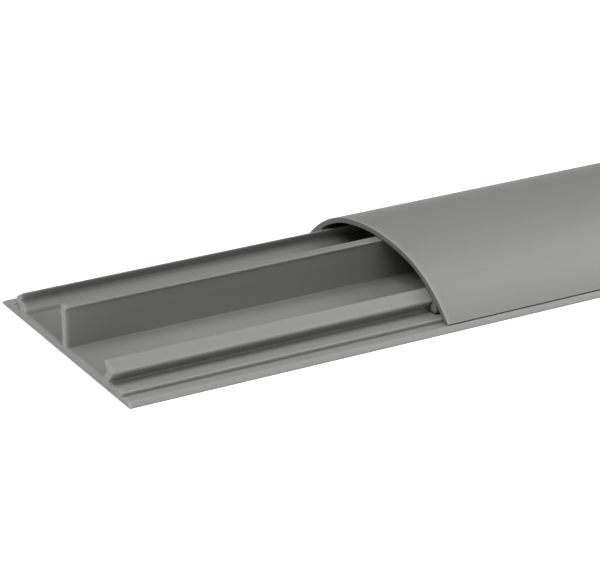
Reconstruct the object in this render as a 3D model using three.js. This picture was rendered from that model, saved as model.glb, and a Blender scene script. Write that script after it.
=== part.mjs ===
import * as THREE from 'three';

// Floor cord cover of extruded grey PVC: a flat base channel with a dividing wall along its middle,
// and an arched cover that snaps over two hooked rails, drawn back along the base by a hand's width.
// Millimetres. +X runs along the length, +Y across it and +Z up. The origin is on the underside of
// the base, halfway along it and midway between its edges. An inset is measured from the base's edge.

// Lengths
const STOCK_LENGTH = 2000;
const COVER_DRAWN_BACK = 91.2;

// Base floor, the level ledge outside each bead, and the strip that thins down to the base's edge
const BASE_WIDTH = 75;
const FLOOR_THICKNESS = 2.0;
const LEDGE_DROP = 0.7;
const EDGE_THICKNESS = 0.4;
const EDGE_ROUNDING = 0.15;
const FOOT_FILLET = 0.4;

// Low bead just inside the cover's rim
const BEAD_STANDOFF = 1.05;
const BEAD_WIDTH = 2.5;
const BEAD_HEIGHT = 0.45;
const BEAD_ROUNDING = 0.45;

// Hooked rails: a stem leans out from its foot to the nose, and a hook tapers back in to its tip
const NOSE_INSET = 9.4;
const NOSE_ROUNDING = 0.6;
const STEM_UNDERCUT = 2.8;
const NECK_FILLET = 0.5;
const STEM_FOOT_WIDTH = 2.7;
const STEM_KNEE_WIDTH = 2.2;
const STEM_KNEE_HEIGHT = 1.1;
const HOOK_REACH = 4.1;
const HOOK_SLOPE = 30;
const HOOK_ROOT = 2.8;
const HOOK_ROOT_HEIGHT = 1.9;
const HOOK_TIP_HEIGHT = 0.6;
const TIP_ROUNDING = 0.2;
const RAIL_ROUNDING = 0.3;

// Dividing wall just off the middle, with a lip along one side of its top and a bead on the other
const DIVIDER_OFFSET = -0.9;
const DIVIDER_THICKNESS = 2.3;
const LIP_REACH = 0.8;
const LIP_THICKNESS = 0.5;
const LIP_HAUNCH = 0.5;
const SIDE_BEAD_DROP = 1.5;
const SIDE_BEAD_HEIGHT = 1.6;
const SIDE_BEAD_REACH = 0.6;
const DIVIDER_ROUNDING = 0.35;

// Arched cover: a wide arc over the crown runs into a tighter one down to each rim
const COVER_RISE = 13.9;
const COVER_WALL = 1.45;
const RIM_INSET = 1.5;
const RIM_ROUNDING = 0.15;
const CROWN_ANGLE = 12;
const RIM_STEEPENING = 6;

// Snap legs under the cover's shoulders, each with a barb that catches below a rail's nose
const LEG_THICKNESS = 1.2;
const LEG_ROUNDING = 0.3;
const BARB_REACH = 1.2;

// Clearances
const RIM_CLEARANCE = 0.25;
const LEG_CLEARANCE = 0.3;
const LEG_FLOOR_CLEARANCE = 0.5;
const BARB_CLEARANCE = 0.35;
const NOSE_CLEARANCE = 1.2;
const DIVIDER_CLEARANCE = 0.3;

// Finish
const BASE_GREY = 0x8f908a;
const COVER_GREY = 0x969790;
const PLASTIC_ROUGHNESS = 0.5;

// Fineness of the curves
const ROUNDING_STEPS = 4;
const ARCH_STEPS = 48;
const FEWEST_ARCH_STEPS = 3;

// The most of a side that the rounding at one of its ends may take up
const ROUNDING_SHARE = 0.45;

const halfBase = BASE_WIDTH / 2;
const floorTop = FLOOR_THICKNESS;
const ledgeTop = floorTop - LEDGE_DROP;
const rimSide = halfBase - RIM_INSET;
const rimBottom = ledgeTop + RIM_CLEARANCE;

// The cover's slope at its rim: a plain circular arc would have twice atan(rise / half width) there
const rimAngle = 2 * Math.atan(COVER_RISE / rimSide) + THREE.MathUtils.degToRad(RIM_STEEPENING);

// The arch through the rims and the crown: its two radii are the ones that give both the half width
// and the rise, with the change from one to the other at the crown angle
function archOf(halfWidth, rise, top) {
  const crown = THREE.MathUtils.degToRad(CROWN_ANGLE);
  const [crownSide, crownDrop] = [Math.sin(crown), 1 - Math.cos(crown)];
  const shoulderSide = Math.sin(rimAngle) - Math.sin(crown);
  const shoulderDrop = Math.cos(crown) - Math.cos(rimAngle);
  const scale = crownSide * shoulderDrop - crownDrop * shoulderSide;
  const crownRadius = (halfWidth * shoulderDrop - rise * shoulderSide) / scale;
  const shoulderRadius = (rise * crownSide - halfWidth * crownDrop) / scale;
  const step = crownRadius - shoulderRadius;
  return {
    crown,
    crownRadius,
    shoulderRadius,
    crownCentre: top - crownRadius,
    shoulderCentre: { y: step * crownSide, z: top - crownRadius + step * Math.cos(crown) },
  };
}

const arch = archOf(rimSide, COVER_RISE, rimBottom + COVER_RISE);

// Height of the cover's outer surface at y, or of the surface that lies depth inside it
function archHeight(y, depth) {
  const side = Math.abs(y);
  const crownRadius = arch.crownRadius - depth;
  if (side <= crownRadius * Math.sin(arch.crown)) {
    return arch.crownCentre + Math.sqrt(crownRadius ** 2 - side ** 2);
  }
  const { y: centre, z: level } = arch.shoulderCentre;
  return level + Math.sqrt((arch.shoulderRadius - depth) ** 2 - (side - centre) ** 2);
}

// How far out the surface that lies depth inside the cover is at height z
function archSide(z, depth) {
  const { y: centre, z: level } = arch.shoulderCentre;
  return centre + Math.sqrt((arch.shoulderRadius - depth) ** 2 - (z - level) ** 2);
}

// How far out the cover's inner surface meets the rim's underside
const rimInner = archSide(rimBottom, COVER_WALL);

// A corner of a section's outline: y, z and the radius that rounds it
const corner = (y, z, radius = 0) => ({ y, z, radius });

// The same corners on the other half, in the same order
const opposite = (corners) => corners.map((c) => corner(-c.y, c.z, c.radius));

// The points that stand for one corner: an arc that touches both of its sides, or the corner itself
function roundedCorner(before, at, after) {
  const here = new THREE.Vector2(at.y, at.z);
  if (at.radius === 0) return [here];
  const back = new THREE.Vector2(before.y, before.z).sub(here);
  const ahead = new THREE.Vector2(after.y, after.z).sub(here);
  const room = ROUNDING_SHARE * Math.min(back.length(), ahead.length());
  back.normalize();
  ahead.normalize();
  const halfAngle = Math.acos(THREE.MathUtils.clamp(back.dot(ahead), -1, 1)) / 2;
  const setback = Math.min(at.radius / Math.tan(halfAngle), room);
  const radius = setback * Math.tan(halfAngle);
  const bisector = back.clone().add(ahead).normalize();
  const centre = here.clone().addScaledVector(bisector, radius / Math.sin(halfAngle));
  const start = here.clone().addScaledVector(back, setback).sub(centre);
  const end = here.clone().addScaledVector(ahead, setback).sub(centre);
  const arc = new THREE.Path();
  arc.absarc(centre.x, centre.y, radius, start.angle(), end.angle(), start.cross(end) < 0);
  return arc.getPoints(ROUNDING_STEPS);
}

function sectionOf(corners) {
  const last = corners.length - 1;
  return new THREE.Shape(corners.flatMap((at, i) => {
    const before = corners[i === 0 ? last : i - 1];
    const after = corners[i === last ? 0 : i + 1];
    return roundedCorner(before, at, after);
  }));
}

// Plain corners along a curve z(y), with both ends left out
function alongCurve(fromY, toY, heightAt) {
  const wanted = Math.round((ARCH_STEPS * Math.abs(toY - fromY)) / halfBase);
  const steps = Math.max(FEWEST_ARCH_STEPS, wanted);
  return Array.from({ length: steps - 1 }, (_, i) => {
    const y = fromY + ((toY - fromY) * (i + 1)) / steps;
    return corner(y, heightAt(y));
  });
}

// The rail on the near side, from the foot of its stem round the nose and tip to its inner foot
function nearRail() {
  const noseY = -halfBase + NOSE_INSET;
  const neckY = noseY + STEM_UNDERCUT;
  const tipY = noseY + HOOK_REACH;
  const rootY = noseY + HOOK_ROOT;
  const noseZ = archHeight(noseY, COVER_WALL) - NOSE_CLEARANCE;
  const steepness = Math.tan(THREE.MathUtils.degToRad(HOOK_SLOPE));
  const hookTop = (y) => noseZ + (y - noseY) * steepness;
  return {
    neck: corner(neckY, floorTop, NECK_FILLET),
    nose: corner(noseY, noseZ, NOSE_ROUNDING),
    rest: [
      corner(tipY, hookTop(tipY), TIP_ROUNDING),
      corner(tipY, hookTop(tipY) - HOOK_TIP_HEIGHT, TIP_ROUNDING),
      corner(rootY, hookTop(rootY) - HOOK_ROOT_HEIGHT, RAIL_ROUNDING),
      corner(neckY + STEM_KNEE_WIDTH, floorTop + STEM_KNEE_HEIGHT, RAIL_ROUNDING),
      corner(neckY + STEM_FOOT_WIDTH, floorTop, FOOT_FILLET),
    ],
  };
}

// The near half of the base's top, from its edge to the foot of the rail's inner side
function nearHalfTop() {
  const beadOuter = BEAD_STANDOFF - rimInner;
  const beadInner = beadOuter + BEAD_WIDTH;
  const beadTop = floorTop + BEAD_HEIGHT;
  const rail = nearRail();
  return [
    corner(-halfBase, 0, EDGE_ROUNDING),
    corner(-halfBase, EDGE_THICKNESS, EDGE_ROUNDING),
    corner(-rimSide, ledgeTop),
    corner(beadOuter, ledgeTop),
    corner(beadOuter, beadTop, BEAD_ROUNDING),
    corner(beadInner, beadTop, BEAD_ROUNDING),
    corner(beadInner, floorTop, FOOT_FILLET),
    rail.neck,
    rail.nose,
    ...rail.rest,
  ];
}

function divider() {
  const nearFace = DIVIDER_OFFSET - DIVIDER_THICKNESS / 2;
  const farFace = DIVIDER_OFFSET + DIVIDER_THICKNESS / 2;
  const lipTip = nearFace - LIP_REACH;
  const top = archHeight(lipTip, COVER_WALL) - DIVIDER_CLEARANCE;
  const beadTop = top - SIDE_BEAD_DROP;
  const beadCrest = farFace + SIDE_BEAD_REACH;
  return [
    corner(nearFace, floorTop, FOOT_FILLET),
    corner(nearFace, top - LIP_THICKNESS - LIP_HAUNCH, DIVIDER_ROUNDING),
    corner(lipTip, top - LIP_THICKNESS, DIVIDER_ROUNDING),
    corner(lipTip, top, DIVIDER_ROUNDING),
    corner(farFace, top, DIVIDER_ROUNDING),
    corner(farFace, beadTop),
    corner(beadCrest, beadTop - SIDE_BEAD_HEIGHT / 3, DIVIDER_ROUNDING),
    corner(beadCrest, beadTop - (SIDE_BEAD_HEIGHT * 2) / 3, DIVIDER_ROUNDING),
    corner(farFace, beadTop - SIDE_BEAD_HEIGHT),
    corner(farFace, floorTop, FOOT_FILLET),
  ];
}

function baseSection() {
  const near = nearHalfTop();
  return sectionOf([...near, ...divider(), ...opposite(near).reverse()]);
}

// The near leg, from its outer root down round the barb and up to its inner root
function nearLeg() {
  const { neck, nose } = nearRail();
  const innerY = nose.y - LEG_CLEARANCE;
  const outerY = innerY - LEG_THICKNESS;
  const barbY = innerY + BARB_REACH;
  const bottom = floorTop + LEG_FLOOR_CLEARANCE;
  const stemLength = Math.hypot(nose.y - neck.y, nose.z - neck.z);
  const sideways = (BARB_CLEARANCE * stemLength) / (nose.z - neck.z);
  const barbHeight = (y) => (
    neck.z + ((y + sideways - neck.y) * (nose.z - neck.z)) / (nose.y - neck.y)
  );
  return [
    corner(outerY, archHeight(outerY, COVER_WALL), LEG_ROUNDING),
    corner(outerY, bottom, LEG_ROUNDING),
    corner(barbY, bottom, LEG_ROUNDING),
    corner(barbY, barbHeight(barbY), LEG_ROUNDING),
    corner(innerY, barbHeight(innerY)),
    corner(innerY, archHeight(innerY, COVER_WALL)),
  ];
}

function coverSection() {
  const outside = (y) => archHeight(y, 0);
  const inside = (y) => archHeight(y, COVER_WALL);
  const leg = nearLeg();
  const [legOuter, legInner] = [leg[0].y, leg[leg.length - 1].y];
  const nearRim = [
    corner(-rimInner, rimBottom, RIM_ROUNDING),
    corner(-rimSide, rimBottom, RIM_ROUNDING),
  ];
  return sectionOf([
    ...nearRim,
    ...alongCurve(-rimSide, rimSide, outside),
    ...opposite(nearRim).reverse(),
    ...alongCurve(rimInner, -legOuter, inside),
    ...opposite(leg),
    ...alongCurve(-legInner, legInner, inside),
    ...leg.slice().reverse(),
    ...alongCurve(legOuter, -rimInner, inside),
  ]);
}

// A length of stock with the given section: the section's y and z stay, and it is drawn out along x
function stock(name, section, x, colour) {
  const geometry = new THREE.ExtrudeGeometry(section, { depth: STOCK_LENGTH, bevelEnabled: false });
  const material = new THREE.MeshStandardMaterial({
    color: colour,
    roughness: PLASTIC_ROUGHNESS,
    metalness: 0,
  });
  const mesh = new THREE.Mesh(geometry, material);
  mesh.name = name;
  mesh.rotation.set(Math.PI / 2, Math.PI / 2, 0);
  mesh.position.x = x;
  return mesh;
}

const nearEnd = -STOCK_LENGTH / 2;
const group = new THREE.Group();
group.add(stock('base_channel', baseSection(), nearEnd, BASE_GREY));
group.add(stock('snap_cover', coverSection(), nearEnd + COVER_DRAWN_BACK, COVER_GREY));

export default group;
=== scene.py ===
"""Floor cord cover: the looks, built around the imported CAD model. A Blender 4.5 script.

Both pieces are lengths of extruded PVC. Each is made again as one closed surface: the outline of
the CAD node's own cut end, carried along X, with the narrow softened edge that a saw and a file
leave at both ends. Lengths are in metres, in the CAD model's frame.
"""

import math

import bpy
import numpy as np
from mathutils import Euler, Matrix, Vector


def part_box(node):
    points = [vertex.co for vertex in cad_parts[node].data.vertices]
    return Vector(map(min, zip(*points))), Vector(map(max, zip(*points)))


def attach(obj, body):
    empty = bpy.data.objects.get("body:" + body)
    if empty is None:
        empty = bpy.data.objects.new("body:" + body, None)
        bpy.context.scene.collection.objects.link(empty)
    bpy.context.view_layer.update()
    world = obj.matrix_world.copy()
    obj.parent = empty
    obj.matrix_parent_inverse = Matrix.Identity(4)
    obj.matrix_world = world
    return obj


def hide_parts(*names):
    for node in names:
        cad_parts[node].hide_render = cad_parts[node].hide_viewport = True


bl_info = {
    "name": "Floor Cord Cover",
    "version": (1, 0, 0),
    "blender": (4, 5, 0),
    "location": "3D View > Sidebar > Cord Cover",
    "description": "Dresses the base channel and the snap cover of a floor cord cover",
    "category": "Object",
}

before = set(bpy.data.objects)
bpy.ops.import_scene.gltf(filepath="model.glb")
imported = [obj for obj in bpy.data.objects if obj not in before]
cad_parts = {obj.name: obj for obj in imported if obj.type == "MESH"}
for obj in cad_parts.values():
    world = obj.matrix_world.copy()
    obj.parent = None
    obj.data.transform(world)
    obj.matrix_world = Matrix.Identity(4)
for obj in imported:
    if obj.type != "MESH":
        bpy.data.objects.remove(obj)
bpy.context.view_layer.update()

BASE_NODE = "base_channel"
COVER_NODE = "snap_cover"
PHOTO_WIDTH = 600
SENSOR_WIDTH = 36.0
CLIP_START = 0.01

FLOOR_HALF = 6.0
FLOOR_WHITE = (0.97, 0.97, 0.97)
FLOOR_ROUGHNESS = 0.9
WHITE = (1.0, 1.0, 1.0, 1.0)
# Azimuth from +X and elevation in degrees that each soft light comes from, and its strength
SOFT_LIGHTS = {
    "end_softbox": (180, 60, 1.93),
    "front_softbox": (-90, 40, 0.80),
    "far_end_softbox": (0, 25, 1.96),
    "far_end_top_softbox": (0, 50, 0.61),
}

# How near to the lowest X a point of the end face is, and the decimals that points are welded to
END_TOLERANCE = 1e-6
WELD_DECIMALS = 7
# Guards that a side is longer than before it gets its own
GUARDED_SIDE = 4
# Turns of the outline that are creases, not curves
CREASE_ANGLE = math.radians(35)
# Rings that round the sawn edge, and the fewest between both ends
EDGE_RINGS = 4
FEWEST_RINGS = 2
# How far the outline may reach past a corner when it is drawn in, and the least that it divides by
MITRE_LIMIT = 2.0
MITRE_FLOOR = 1e-3
# Turn of the outline at which an edge takes the full painted highlight, and the share of a
# neighbour's turn that counts towards a point's own
FULL_HIGHLIGHT_TURN = math.radians(30)
NEIGHBOUR_TURN = 0.5
# Where the channel's floor is: its half width and the heights that its surface lies between
CHANNEL_HALF = 0.023
FLOOR_HEIGHTS = (0.0015, 0.0026)
# Painted shade that darkens the floor by the cut ends: its share on the near half of the floor, as
# a share of that on the far half
NEAR_PAINTED_SHADE = 0.5
# What brings the saw's centre to the origin: it stood beyond one edge and above the part
SAW_CENTRE = (0.0, -0.12, -0.1)
# How strongly the saw's arcs waver
SAW_CHATTER = 1.5
# Share of the plastic's grey that is left in a hairline
HAIRLINE_SHADE = 0.8
# What a pattern's coordinates are scaled by, so that it runs lengthwise
LINE_SCALE = (0.004, 1.0, 1.0)
CLOUD_SCALE = (0.35, 1.0, 1.0)
# How closely the broad streaks lie, as a share of the fine lines', and the grains in a metre
BROAD_SHARE = 0.18
GRAINS_PER_METRE = 4200.0
# The middle of a noise's values, and the spans that are stretched to a full change
NOISE_MIDDLE = 0.5
NOISE_SPAN = (0.3, 0.7)
STREAK_SPAN = (0.35, 0.65)
SAW_SPAN = (0.2, 0.8)
# Share of the painted shade on the floor that is left where the mottle makes it thinnest
THINNEST_PAINTED_SHADE = 0.6
# A Mix node's sockets for colours: its factor and both colours, and its result
MIX_INPUTS = (0, 6, 7)
MIX_RESULT = 2


def cut_end_outline(node):
    """The outline of a node's end face at its lowest X, as an array of (y, z) in order.

    The end face is a set of triangles. A directed edge that no other triangle runs the opposite
    way is on the outline, and leads from one point to the next. The order follows by list
    ranking: each point's distance to the last one is doubled up along ever longer jumps.
    """
    mesh = node.data
    mesh.calc_loop_triangles()
    co = np.empty(len(mesh.vertices) * 3, np.float32)
    mesh.vertices.foreach_get("co", co)
    co = co.reshape(-1, 3).astype(float)
    tri = np.empty(len(mesh.loop_triangles) * 3, np.int32)
    mesh.loop_triangles.foreach_get("vertices", tri)
    tri = tri.reshape(-1, 3)
    at_end = np.isclose(co[:, 0], co[:, 0].min(), atol=END_TOLERANCE)
    tri = tri[at_end[tri].all(axis=1)]
    section = np.round(co[:, 1:], WELD_DECIMALS)
    points, welded = np.unique(section, axis=0, return_inverse=True)
    tri = welded.reshape(-1)[tri]
    ahead = np.concatenate([tri[:, [0, 1]], tri[:, [1, 2]], tri[:, [2, 0]]])
    code = ahead[:, 0] * len(points) + ahead[:, 1]
    back = ahead[:, 1] * len(points) + ahead[:, 0]
    ahead = ahead[~np.isin(code, back)]
    jump = np.arange(len(points))
    jump[ahead[:, 0]] = ahead[:, 1]
    first, last = ahead[0, 1], ahead[0, 0]
    jump[last] = last
    left = (jump != np.arange(len(points))).astype(int)
    for _ in range(int(math.ceil(math.log2(len(points))))):
        left = left + left[jump]
        jump = jump[jump]
    on_outline = np.unique(ahead)
    return points[on_outline[np.argsort(-left[on_outline])]]


def turns(outline):
    """How far the outline turns at each point: the angle between the sides that meet there."""
    side = np.roll(outline, -1, axis=0) - outline
    heading = np.arctan2(side[:, 1], side[:, 0])
    turn = heading - np.roll(heading, 1)
    return (turn + math.pi) % (2 * math.pi) - math.pi


def guarded(outline, guard):
    """The outline with a point added a guard's length from both ends of each long side.

    The shading of a flat then changes only between the guard and the curve beside it.
    """
    ahead = np.roll(outline, -1, axis=0)
    length = np.linalg.norm(ahead - outline, axis=1, keepdims=True)
    step = (ahead - outline) * (guard / length)
    points = np.stack([outline, outline + step, ahead - step])
    keep = np.ones(points.shape[:2], bool)
    keep[1:] = length[:, 0] > GUARDED_SIDE * guard
    return points.transpose(1, 0, 2)[keep.T]


def inward(outline):
    """The way that each point goes when the outline is drawn in by one unit all round.

    It is the sum of the two sides' normals over one plus their dot product, held to the mitre
    limit.
    """
    side = np.roll(outline, -1, axis=0) - outline
    side /= np.linalg.norm(side, axis=1, keepdims=True)
    normal = np.stack([-side[:, 1], side[:, 0]], axis=1)
    if area(outline) < 0:
        normal = -normal
    before = np.roll(normal, 1, axis=0)
    spread = 1 + (normal * before).sum(axis=1, keepdims=True)
    way = (normal + before) / spread.clip(MITRE_FLOOR)
    reach = np.linalg.norm(way, axis=1, keepdims=True)
    return way * np.minimum(1, MITRE_LIMIT / reach)


def area(outline):
    """The area inside: half the sum of the cross products of each point with the next.

    It is positive if the outline runs leftwards.
    """
    ahead = np.roll(outline, -1, axis=0)
    return 0.5 * (outline[:, 0] * ahead[:, 1] - outline[:, 1] * ahead[:, 0]).sum()


def stations(low, high, sizes):
    """The x of each ring along the length, and how far the outline is drawn in there.

    At both ends the rings follow a quarter circle of the edge's radius: x goes in as one minus the
    cosine while the outline comes out as one minus the sine. One more ring stands where the band
    of painted highlight stops. Between the lengths of painted shade at both ends they are evenly
    spaced.
    """
    angle = np.linspace(0, math.pi / 2, EDGE_RINGS)
    into = sizes.edge_radius * (1 - np.cos(angle))
    drawn = sizes.edge_radius * (1 - np.sin(angle))
    count = max(FEWEST_RINGS, int(round((high - low) / sizes.ring_spacing)))
    between = np.linspace(low + sizes.painted_shade_reach, high - sizes.painted_shade_reach, count)
    band = sizes.painted_highlight_band
    full = np.concatenate([[low + band], between, [high - band]])
    x = np.concatenate([low + into, full, high - into[::-1]])
    return x, np.concatenate([drawn, np.zeros(len(full)), drawn[::-1]])


def extrusion(name, node, sizes):
    """One closed piece: the node's outline carried along X, ring by ring, with a face on each end.

    Ring i is the outline plus its inward way times how far it is drawn in at station i. Each side
    face joins point j and j + 1 of ring i to the same points of ring i + 1.
    """
    outline = guarded(cut_end_outline(node), sizes.guard)
    if area(outline) < 0:
        outline = outline[::-1]
    low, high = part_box(node.name)
    x, drawn = stations(low.x, high.x, sizes)
    rings = outline[None] + inward(outline)[None] * drawn[:, None, None]
    co = np.concatenate([np.broadcast_to(x[:, None, None], rings.shape[:2] + (1,)), rings], axis=2)
    ring_count, point_count = rings.shape[:2]
    i, j = np.meshgrid(np.arange(ring_count - 1), np.arange(point_count), indexing="ij")
    k = (j + 1) % point_count
    at = i * point_count
    after = at + point_count
    quads = np.stack([at + j, after + j, after + k, at + k], axis=2).reshape(-1, 4)
    near_cap = np.arange(point_count)
    far_cap = near_cap[::-1] + (ring_count - 1) * point_count
    mesh = bpy.data.meshes.new(name)
    faces = quads.tolist() + [near_cap.tolist(), far_cap.tolist()]
    mesh.from_pydata(co.reshape(-1, 3), [], faces)
    if mesh.polygons[len(quads)].normal.x > 0:
        mesh.flip_normals()
    is_cap = np.zeros(len(mesh.polygons), bool)
    is_cap[-2:] = True
    mesh.polygons.foreach_set("use_smooth", ~is_cap)
    mesh.polygons.foreach_set("material_index", is_cap.astype(np.int32))
    turn = turns(outline)
    mark_creases(mesh, np.abs(turn) > CREASE_ANGLE, ring_count, point_count)
    add_painted_light_masks(mesh, outline, turn, ring_count)
    piece = bpy.data.objects.new(name, mesh)
    bpy.context.scene.collection.objects.link(piece)
    return piece


def mark_creases(mesh, is_crease, ring_count, point_count):
    """Sharp edges: the lengthwise ones at the outline's creases, and the rim of both end faces."""
    ends = np.empty(len(mesh.edges) * 2, np.int32)
    mesh.edges.foreach_get("vertices", ends)
    ends = ends.reshape(-1, 2)
    ring, point = np.divmod(ends, point_count)
    lengthwise = (point[:, 0] == point[:, 1]) & is_crease[point[:, 0]]
    rim = (ring[:, 0] == ring[:, 1]) & np.isin(ring[:, 0], (0, ring_count - 1))
    sharp = mesh.attributes.new("sharp_edge", "BOOLEAN", "EDGE")
    sharp.data.foreach_set("value", lengthwise | rim)


def add_painted_light_masks(mesh, outline, turn, ring_count):
    """Three attributes that mark where light and shade are painted, one value a point.

    The edge mark is 1 on outward corners and 0 on flats and in inward corners: a painted highlight
    along the edges. The end mark is 1 on the rings that round a sawn edge, and falls to 0 over the
    band beside it: a painted highlight at the cut ends. The floor mark is 1 on the channel's floor
    at a sawn end, less on its near half, and falls to 0 over its reach: painted shade that darkens
    the floor near the ends, most on the far half.
    """
    around = turn + NEIGHBOUR_TURN * (np.roll(turn, 1) + np.roll(turn, -1))
    ring = np.arange(ring_count)
    from_end = np.minimum(ring, ring[::-1])[:, None]
    y, z = outline.T
    on_floor = (np.abs(y) < CHANNEL_HALF) & (z > FLOOR_HEIGHTS[0]) & (z < FLOOR_HEIGHTS[1])
    dust = on_floor * np.where(y > 0, 1.0, NEAR_PAINTED_SHADE)
    layers = {
        "worn": np.clip(around / FULL_HIGHLIGHT_TURN, 0, 1) + 0 * from_end,
        "rubbed": (from_end < EDGE_RINGS) + 0 * turn,
        "dusty": (from_end <= EDGE_RINGS) * dust,
    }
    for name, values in layers.items():
        layer = mesh.attributes.new(name, "FLOAT", "POINT")
        layer.data.foreach_set("value", values.reshape(-1).astype(np.float32))


def node_of(tree, kind, place, **values):
    """A shader node of the given kind, with its inputs set by name."""
    made = tree.nodes.new(kind)
    made.location = place
    for name, value in values.items():
        made.inputs[name.replace("_", " ")].default_value = value
    return made


def math_node(tree, operation, place, first, second):
    """A Math node that joins two values, each a socket or a number."""
    made = tree.nodes.new("ShaderNodeMath")
    made.operation = operation
    made.location = place
    for socket, value in zip(made.inputs, (first, second)):
        if isinstance(value, (int, float)):
            socket.default_value = value
        else:
            tree.links.new(value, socket)
    return made.outputs[0]


def new_group(name, inputs, outputs):
    """An empty node group with its named sockets: inputs give a default value, outputs a kind."""
    tree = bpy.data.node_groups.new(name, "ShaderNodeTree")
    for label, kind, default in inputs:
        socket = tree.interface.new_socket(label, in_out="INPUT", socket_type=kind)
        if default is not None:
            socket.default_value = default
    for label, kind in outputs:
        tree.interface.new_socket(label, in_out="OUTPUT", socket_type=kind)
    return tree, tree.nodes.new("NodeGroupInput"), tree.nodes.new("NodeGroupOutput")


def die_lines_group():
    """Fine lengthwise lines of an extrusion: noise that is stretched along X, in two widths."""
    tree, given, out = new_group(
        "extruded_die_lines",
        [("Vector", "NodeSocketVector", None), ("Lines per metre", "NodeSocketFloat", 900.0)],
        [("Height", "NodeSocketFloat"), ("Streak", "NodeSocketFloat")],
    )
    stretch = node_of(tree, "ShaderNodeMapping", (-600, 0), Scale=LINE_SCALE)
    tree.links.new(given.outputs["Vector"], stretch.inputs["Vector"])
    fine = node_of(tree, "ShaderNodeTexNoise", (-400, 100), Detail=3.0, Roughness=0.6)
    tree.links.new(stretch.outputs[0], fine.inputs["Vector"])
    tree.links.new(given.outputs["Lines per metre"], fine.inputs["Scale"])
    broad = node_of(tree, "ShaderNodeTexNoise", (-400, -150), Detail=1.0)
    tree.links.new(stretch.outputs[0], broad.inputs["Vector"])
    closeness = given.outputs["Lines per metre"]
    wide = math_node(tree, "MULTIPLY", (-600, -250), closeness, BROAD_SHARE)
    tree.links.new(wide, broad.inputs["Scale"])
    tree.links.new(fine.outputs["Fac"], out.inputs["Height"])
    tree.links.new(broad.outputs["Fac"], out.inputs["Streak"])
    return tree


def mottle_group():
    """Cloudy unevenness of the plastic, about as wide as a hand, and a finer one inside it."""
    tree, given, out = new_group(
        "plastic_mottle",
        [("Vector", "NodeSocketVector", None), ("Clouds per metre", "NodeSocketFloat", 12.0)],
        [("Cloud", "NodeSocketFloat"), ("Grain", "NodeSocketFloat")],
    )
    stretch = node_of(tree, "ShaderNodeMapping", (-600, 0), Scale=CLOUD_SCALE)
    tree.links.new(given.outputs["Vector"], stretch.inputs["Vector"])
    cloud = node_of(tree, "ShaderNodeTexNoise", (-400, 100), Detail=4.0, Roughness=0.55)
    tree.links.new(stretch.outputs[0], cloud.inputs["Vector"])
    tree.links.new(given.outputs["Clouds per metre"], cloud.inputs["Scale"])
    grain = node_of(tree, "ShaderNodeTexNoise", (-400, -150), Scale=GRAINS_PER_METRE, Detail=2.0)
    tree.links.new(given.outputs["Vector"], grain.inputs["Vector"])
    tree.links.new(cloud.outputs["Fac"], out.inputs["Cloud"])
    tree.links.new(grain.outputs["Fac"], out.inputs["Grain"])
    return tree


def saw_marks_group():
    """Marks of a circular saw on a cut end: close, wavering arcs about a centre off the part."""
    tree, given, out = new_group(
        "circular_saw_marks",
        [("Vector", "NodeSocketVector", None), ("Marks per metre", "NodeSocketFloat", 1400.0)],
        [("Height", "NodeSocketFloat")],
    )
    centre = node_of(tree, "ShaderNodeMapping", (-600, 0), Location=SAW_CENTRE)
    tree.links.new(given.outputs["Vector"], centre.inputs["Vector"])
    rings = node_of(tree, "ShaderNodeTexWave", (-400, 0), Distortion=SAW_CHATTER, Detail=2.0)
    rings.wave_type = "RINGS"
    rings.rings_direction = "X"
    tree.links.new(centre.outputs[0], rings.inputs["Vector"])
    tree.links.new(given.outputs["Marks per metre"], rings.inputs["Scale"])
    tree.links.new(rings.outputs["Fac"], out.inputs["Height"])
    return tree


def placed(tree, group, place):
    """The group as a node of the tree."""
    made = tree.nodes.new("ShaderNodeGroup")
    made.node_tree = group
    made.location = place
    return made


def mixed(tree, place, share, first, second):
    """A Mix node for colours: first where share is 0, second where it is 1."""
    made = tree.nodes.new("ShaderNodeMix")
    made.data_type = "RGBA"
    made.location = place
    for index, value in zip(MIX_INPUTS, (share, first, second)):
        socket = made.inputs[index]
        if isinstance(value, bpy.types.NodeSocket):
            tree.links.new(value, socket)
        else:
            socket.default_value = value
    return made.outputs[MIX_RESULT]


def ranged(tree, place, value, span, low=0.0, high=1.0):
    """A Map Range node: value over the span to low..high, held at both ends."""
    made = tree.nodes.new("ShaderNodeMapRange")
    made.location = place
    tree.links.new(value, made.inputs["Value"])
    for name, number in zip(("From Min", "From Max", "To Min", "To Max"), (*span, low, high)):
        made.inputs[name].default_value = number
    return made.outputs[0]


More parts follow.
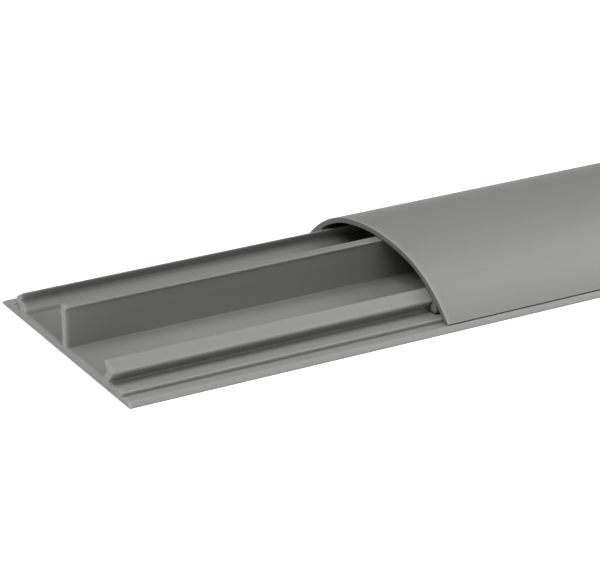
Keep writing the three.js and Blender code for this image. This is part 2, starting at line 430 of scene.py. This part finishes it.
def plastic(name, colour, finish, groups):
    """Satin extruded PVC: mottled grey with die lines and fine grain, plus painted light: paler
    edges and cut-end bands as painted highlight, a darker floor by the ends as painted shade.
    """
    material, tree, shader = bare_material(name)
    coords = tree.nodes.new("ShaderNodeTexCoord").outputs["Object"]
    lines = placed(tree, groups["lines"], (-900, -100))
    mottle = placed(tree, groups["mottle"], (-900, 200))
    for made in (lines, mottle):
        tree.links.new(coords, made.inputs["Vector"])
    lines.inputs["Lines per metre"].default_value = finish.lines_per_metre
    cloud = ranged(tree, (-650, 250), mottle.outputs["Cloud"], NOISE_SPAN)
    darker, lighter = shade(colour, 1 - finish.mottle), shade(colour, 1 + finish.mottle)
    grey = mixed(tree, (-450, 250), cloud, darker, lighter)
    streak = ranged(tree, (-650, 0), lines.outputs["Streak"], STREAK_SPAN, high=finish.streak)
    grey = mixed(tree, (-300, 250), streak, grey, shade(finish.streak_colour, 1))
    height = lines.outputs["Height"]
    hairline = ranged(tree, (-650, -50), height, NOISE_SPAN, high=finish.hairline)
    grey = mixed(tree, (-150, 250), hairline, grey, shade(colour, HAIRLINE_SHADE))
    # Painted shade on the floor by the cut ends, broken up by the mottle
    patch = ranged(tree, (-650, 400), mottle.outputs["Cloud"], NOISE_SPAN, low=THINNEST_PAINTED_SHADE)
    dust = math_node(tree, "MULTIPLY", (-450, 400), patch, finish.dust)
    # Painted highlight on outward edges and by the cut ends, and the painted shade above, mixed in
    for attribute, amount, paint in (
        ("dusty", dust, finish.painted_shade_colour),
        ("worn", finish.edge_highlight_amount, finish.painted_highlight_colour),
        ("rubbed", finish.end_highlight_amount, finish.painted_highlight_colour),
    ):
        mask = tree.nodes.new("ShaderNodeAttribute")
        mask.attribute_name = attribute
        share = math_node(tree, "MULTIPLY", (-450, 0), mask.outputs["Fac"], amount)
        grey = mixed(tree, (0, 250), share, grey, shade(paint, 1))
    tree.links.new(grey, shader.inputs["Base Color"])
    change = finish.roughness_change
    gloss = math_node(tree, "MULTIPLY_ADD", (-450, -200), mottle.outputs["Cloud"], change)
    addend = gloss.node.inputs[2]
    addend.default_value = finish.roughness - NOISE_MIDDLE * change
    tree.links.new(gloss, shader.inputs["Roughness"])
    shader.inputs["IOR"].default_value = finish.ior
    line = math_node(tree, "MULTIPLY", (-650, -300), height, finish.line_depth)
    grain = math_node(tree, "MULTIPLY", (-650, -450), mottle.outputs["Grain"], finish.grain_depth)
    add_relief(tree, shader, math_node(tree, "ADD", (-450, -350), line, grain))
    return material


def sawn_plastic(name, colour, finish, groups):
    """The same PVC where it was sawn: matt, with the saw's arcs. Its grey holds painted light:
    paler on the base's cut ends, as if lit by the pale floor, and darker on the cover's, as
    painted shade.
    """
    material, tree, shader = bare_material(name)
    coords = tree.nodes.new("ShaderNodeTexCoord").outputs["Object"]
    saw = placed(tree, groups["saw"], (-900, -100))
    tree.links.new(coords, saw.inputs["Vector"])
    mark = ranged(tree, (-650, -100), saw.outputs["Height"], SAW_SPAN)
    grey = mixed(tree, (-250, 250), mark, shade(colour, 1 - finish.saw_shade), shade(colour, 1))
    tree.links.new(grey, shader.inputs["Base Color"])
    shader.inputs["Roughness"].default_value = finish.sawn_roughness
    shader.inputs["IOR"].default_value = finish.ior
    height = math_node(tree, "MULTIPLY", (-450, -350), saw.outputs["Height"], finish.saw_depth)
    add_relief(tree, shader, height)
    return material


def shade(colour, share):
    """A grey times a share, with its alpha."""
    return [channel * share for channel in colour] + [1.0]


def add_relief(tree, shader, height):
    """A Bump node that turns heights in metres into the shader's normals."""
    relief = node_of(tree, "ShaderNodeBump", (-250, -350), Strength=1.0, Distance=1.0)
    tree.links.new(height, relief.inputs["Height"])
    tree.links.new(relief.outputs[0], shader.inputs["Normal"])


def bare_material(name):
    """A new material, its node tree and its Principled BSDF."""
    material = bpy.data.materials.new(name)
    material.use_nodes = True
    return material, material.node_tree, material.node_tree.nodes["Principled BSDF"]


def finish_groups():
    """The shared effects, each built the first time that it is asked for."""
    named = bpy.data.node_groups
    return {
        "lines": named.get("extruded_die_lines") or die_lines_group(),
        "mottle": named.get("plastic_mottle") or mottle_group(),
        "saw": named.get("circular_saw_marks") or saw_marks_group(),
    }


class CordCoverSizes(bpy.types.PropertyGroup):
    """Sizes that the dressed pieces add to the CAD sections"""

    edge_radius: bpy.props.FloatProperty(
        name="Sawn edge radius",
        description="Radius left on the edges of a cut end",
        default=0.00012,
        min=0.00002,
        unit="LENGTH",
    )
    guard: bpy.props.FloatProperty(
        name="Guard",
        description="Width of the strip beside a curve in which the shading turns",
        default=0.0001,
        min=0.00002,
        unit="LENGTH",
    )
    # Width of the band of painted highlight beside a cut end
    painted_highlight_band: bpy.props.FloatProperty(
        name="Rubbed band",
        description="Width of the paler band that deburring leaves beside a cut end",
        default=0.0012,
        min=0.0002,
        unit="LENGTH",
    )
    # Reach of the painted shade that darkens the floor in from a cut end
    painted_shade_reach: bpy.props.FloatProperty(
        name="Dust reach",
        description="How far in from a cut end the floor is dusty",
        default=0.03,
        min=0.005,
        unit="LENGTH",
    )
    ring_spacing: bpy.props.FloatProperty(
        name="Ring spacing",
        description="Distance between the rings along the length",
        default=0.1,
        min=0.01,
        unit="LENGTH",
    )


class CordCoverFinish(bpy.types.PropertyGroup):
    """Colours and surface of the PVC"""

    base_colour: bpy.props.FloatVectorProperty(
        name="Base colour",
        description="Grey of the base channel",
        subtype="COLOR",
        default=(0.251, 0.2545, 0.2365),
        min=0.0,
        max=1.0,
    )
    cover_colour: bpy.props.FloatVectorProperty(
        name="Cover colour",
        description="Grey of the snap cover",
        subtype="COLOR",
        default=(0.251, 0.2545, 0.2365),
        min=0.0,
        max=1.0,
    )
    # Paler than the base's plastic: painted light, as if the pale floor lit the base's cut ends
    base_sawn_colour: bpy.props.FloatVectorProperty(
        name="Sawn base colour",
        description="Grey of the base channel's cut ends",
        subtype="COLOR",
        default=(0.36, 0.365, 0.345),
        min=0.0,
        max=1.0,
    )
    # Darker than the cover's plastic: painted shade on the cover's cut ends
    cover_sawn_colour: bpy.props.FloatVectorProperty(
        name="Sawn cover colour",
        description="Grey of the snap cover's cut ends",
        subtype="COLOR",
        default=(0.225, 0.228, 0.213),
        min=0.0,
        max=1.0,
    )
    # Paler grey of the painted highlights on edges and by the cut ends
    painted_highlight_colour: bpy.props.FloatVectorProperty(
        name="Rubbed edge colour",
        description="Paler grey of edges that have been rubbed",
        subtype="COLOR",
        default=(0.42, 0.425, 0.405),
        min=0.0,
        max=1.0,
    )
    streak_colour: bpy.props.FloatVectorProperty(
        name="Streak colour",
        description="Slightly bluer grey of the lengthwise streaks",
        subtype="COLOR",
        default=(0.226, 0.2295, 0.217),
        min=0.0,
        max=1.0,
    )
    # Darker grey of the painted shade on the floor by the cut ends
    painted_shade_colour: bpy.props.FloatVectorProperty(
        name="Dust colour",
        description="Darker grey of dusty plastic",
        subtype="COLOR",
        default=(0.140, 0.141, 0.131),
        min=0.0,
        max=1.0,
    )
    # How far the floor by the cut ends takes the painted shade's grey
    dust: bpy.props.FloatProperty(
        name="Dust",
        description="How far the dusty floor takes its colour",
        default=0.85,
        subtype="FACTOR",
    )
    # How far outward lengthwise edges take the painted highlight's grey
    edge_highlight_amount: bpy.props.FloatProperty(
        name="Edge wear",
        description="How far a rubbed lengthwise edge takes its colour",
        default=0.35,
        subtype="FACTOR",
    )
    # How far the rounded edge of a cut end takes the painted highlight's grey
    end_highlight_amount: bpy.props.FloatProperty(
        name="End wear",
        description="How far the deburred edge of a cut end takes its colour",
        default=0.5,
        subtype="FACTOR",
    )
    streak: bpy.props.FloatProperty(
        name="Streaks",
        description="How far a streak takes its colour",
        default=0.5,
        subtype="FACTOR",
    )
    hairline: bpy.props.FloatProperty(
        name="Hairlines",
        description="How dark the finest lines get",
        default=0.16,
        subtype="FACTOR",
    )
    mottle: bpy.props.FloatProperty(
        name="Mottle",
        description="Share by which the grey changes over the surface",
        default=0.03,
        subtype="FACTOR",
    )
    saw_shade: bpy.props.FloatProperty(
        name="Saw shade",
        description="Share by which a saw's arcs darken the cut",
        default=0.06,
        subtype="FACTOR",
    )
    roughness: bpy.props.FloatProperty(
        name="Roughness",
        description="Mean roughness of the extruded surface",
        default=0.42,
        subtype="FACTOR",
    )
    roughness_change: bpy.props.FloatProperty(
        name="Roughness change",
        description="How much the roughness changes over the surface",
        default=0.1,
        subtype="FACTOR",
    )
    sawn_roughness: bpy.props.FloatProperty(
        name="Sawn roughness",
        description="Roughness of the cut ends",
        default=0.7,
        subtype="FACTOR",
    )
    ior: bpy.props.FloatProperty(name="IOR", description="Refractive index of PVC", default=1.53)
    lines_per_metre: bpy.props.FloatProperty(
        name="Die lines per metre",
        description="How closely the extrusion's lines lie",
        default=900.0,
    )
    line_depth: bpy.props.FloatProperty(
        name="Die line depth",
        description="Height of the extrusion's lines",
        default=0.00002,
        unit="LENGTH",
        precision=6,
    )
    grain_depth: bpy.props.FloatProperty(
        name="Grain depth",
        description="Height of the fine grain",
        default=0.000004,
        unit="LENGTH",
        precision=6,
    )
    saw_depth: bpy.props.FloatProperty(
        name="Saw mark depth",
        description="Height of the marks on a cut end",
        default=0.00003,
        unit="LENGTH",
        precision=6,
    )


class CordCoverStage(bpy.types.PropertyGroup):
    """Camera, lights and floor"""

    camera_place: bpy.props.FloatVectorProperty(
        name="Camera place",
        description="Where the camera stands",
        subtype="XYZ_LENGTH",
        default=(-1.241112, -0.538205, 0.261565),
        precision=6,
    )
    camera_fall: bpy.props.FloatProperty(
        name="Camera fall",
        description="How far down the camera looks",
        subtype="ANGLE",
        default=math.radians(22.4358),
    )
    camera_heading: bpy.props.FloatProperty(
        name="Camera heading",
        description="Way that the camera looks, counted from +X",
        subtype="ANGLE",
        default=math.radians(60.1086),
    )
    focal_pixels: bpy.props.FloatProperty(
        name="Focal length in pixels",
        description="Focal length in widths of the photograph's pixels",
        default=2570.0,
    )
    light_spread: bpy.props.FloatProperty(
        name="Light spread",
        description="Angle that each soft light fills",
        subtype="ANGLE",
        default=math.radians(45),
    )
    light_strength: bpy.props.FloatProperty(
        name="Light strength",
        description="What the strength of every soft light is multiplied by",
        default=0.99,
    )
    floor_glow: bpy.props.FloatProperty(
        name="Floor glow",
        description="Light that the pale floor shows of its own, as a lit table does",
        default=0.35,
    )


class CORDCOVER_OT_base_channel(bpy.types.Operator):
    """Make the base channel: its floor, beads, hooked rails and dividing wall in one extrusion"""

    bl_idname = "cordcover.base_channel"
    bl_label = "Make Base Channel"

    def execute(self, context):
        dress(context.scene, BASE_NODE, "base", "base_plastic")
        return {"FINISHED"}


class CORDCOVER_OT_snap_cover(bpy.types.Operator):
    """Make the snap cover: its arch and snap legs in one extrusion"""

    bl_idname = "cordcover.snap_cover"
    bl_label = "Make Snap Cover"

    def execute(self, context):
        dress(context.scene, COVER_NODE, "cover", "cover_plastic")
        return {"FINISHED"}


def dress(scene, node_name, body, slot):
    """Makes the extrusion that stands for a CAD node, in its materials, and rides it on a body."""
    finish = scene.cord_cover_finish
    groups = finish_groups()
    piece = extrusion(node_name + "_extrusion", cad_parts[node_name], scene.cord_cover_sizes)
    piece.data.materials.append(plastic(slot, getattr(finish, body + "_colour"), finish, groups))
    # The sawn grey holds painted light: paler on the base's ends, darker on the cover's
    sawn_colour = getattr(finish, body + "_sawn_colour")
    piece.data.materials.append(sawn_plastic(slot + "_sawn", sawn_colour, finish, groups))
    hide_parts(node_name)
    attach(piece, body)


class CORDCOVER_OT_stage(bpy.types.Operator):
    """Set up the pale floor, the soft light and the camera"""

    bl_idname = "cordcover.stage"
    bl_label = "Set Up Stage"

    def execute(self, context):
        stage = context.scene.cord_cover_stage
        add_floor(stage)
        add_lights(context.scene, stage)
        add_camera(context.scene, stage)
        return {"FINISHED"}


def add_floor(stage):
    """A plain pale sheet under the part and far wider. Its glow is seen but lights nothing."""
    corners = [(-FLOOR_HALF, -FLOOR_HALF, 0), (FLOOR_HALF, -FLOOR_HALF, 0)]
    corners += [(FLOOR_HALF, FLOOR_HALF, 0), (-FLOOR_HALF, FLOOR_HALF, 0)]
    mesh = bpy.data.meshes.new("floor")
    mesh.from_pydata(corners, [], [(0, 1, 2, 3)])
    floor = bpy.data.objects.new("floor", mesh)
    bpy.context.scene.collection.objects.link(floor)
    material, tree, shader = bare_material("pale_floor")
    shader.inputs["Base Color"].default_value = (*FLOOR_WHITE, 1.0)
    shader.inputs["Roughness"].default_value = FLOOR_ROUGHNESS
    shader.inputs["Specular IOR Level"].default_value = 0.0
    shader.inputs["Emission Color"].default_value = WHITE
    seen = tree.nodes.new("ShaderNodeLightPath").outputs["Is Camera Ray"]
    glow = math_node(tree, "MULTIPLY", (-200, -200), seen, stage.floor_glow)
    tree.links.new(glow, shader.inputs["Emission Strength"])
    mesh.materials.append(material)


def add_lights(scene, stage):
    """The soft lights, each from its azimuth and elevation, before a plain white world."""
    for name, (azimuth, elevation, strength) in SOFT_LIGHTS.items():
        light = bpy.data.lights.new(name, "SUN")
        light.energy = strength * stage.light_strength
        light.angle = stage.light_spread
        holder = bpy.data.objects.new(name, light)
        scene.collection.objects.link(holder)
        turn, rise = math.radians(azimuth), math.radians(elevation)
        level = math.cos(rise)
        away = Vector((-level * math.cos(turn), -level * math.sin(turn), -math.sin(rise)))
        holder.rotation_euler = away.to_track_quat("-Z", "Y").to_euler()
    world = bpy.data.worlds.new("studio")
    world.use_nodes = True
    tree = world.node_tree
    sky = tree.nodes["Background"]
    sky.inputs["Color"].default_value = WHITE
    seen = tree.nodes.new("ShaderNodeLightPath").outputs["Is Camera Ray"]
    tree.links.new(seen, sky.inputs["Strength"])
    scene.world = world
    scene.view_settings.view_transform = "Standard"


def add_camera(scene, stage):
    """The camera of the photograph: its lens follows from the focal length in pixels."""
    lens = bpy.data.cameras.new("photo_camera")
    lens.sensor_width = SENSOR_WIDTH
    lens.lens = stage.focal_pixels * SENSOR_WIDTH / PHOTO_WIDTH
    lens.clip_start = CLIP_START
    camera = bpy.data.objects.new("photo_camera", lens)
    scene.collection.objects.link(camera)
    camera.location = stage.camera_place
    tilt = math.pi / 2 - stage.camera_fall
    camera.rotation_euler = Euler((tilt, 0.0, stage.camera_heading - math.pi / 2))
    scene.camera = camera


class CORDCOVER_PT_panel(bpy.types.Panel):
    """Sizes, finish and stage of the cord cover, and the operators that make it"""

    bl_idname = "CORDCOVER_PT_panel"
    bl_label = "Cord Cover"
    bl_space_type = "VIEW_3D"
    bl_region_type = "UI"
    bl_category = "Cord Cover"

    def draw(self, context):
        for settings in (
            context.scene.cord_cover_sizes,
            context.scene.cord_cover_finish,
            context.scene.cord_cover_stage,
        ):
            box = self.layout.box()
            for name in settings.bl_rna.properties.keys():
                if name not in ("rna_type", "name"):
                    box.prop(settings, name)
        for operator in OPERATORS:
            self.layout.operator(operator.bl_idname)


OPERATORS = (CORDCOVER_OT_base_channel, CORDCOVER_OT_snap_cover, CORDCOVER_OT_stage)
SETTINGS = {
    "cord_cover_sizes": CordCoverSizes,
    "cord_cover_finish": CordCoverFinish,
    "cord_cover_stage": CordCoverStage,
}


def register():
    for made in (*SETTINGS.values(), *OPERATORS, CORDCOVER_PT_panel):
        bpy.utils.register_class(made)
    for name, settings in SETTINGS.items():
        setattr(bpy.types.Scene, name, bpy.props.PointerProperty(type=settings))


def unregister():
    for name in SETTINGS:
        delattr(bpy.types.Scene, name)
    for made in (CORDCOVER_PT_panel, *OPERATORS, *SETTINGS.values()):
        bpy.utils.unregister_class(made)


def main():
    register()
    bpy.ops.cordcover.base_channel()
    bpy.ops.cordcover.snap_cover()
    bpy.ops.cordcover.stage()


if __name__ == "__main__":
    main()
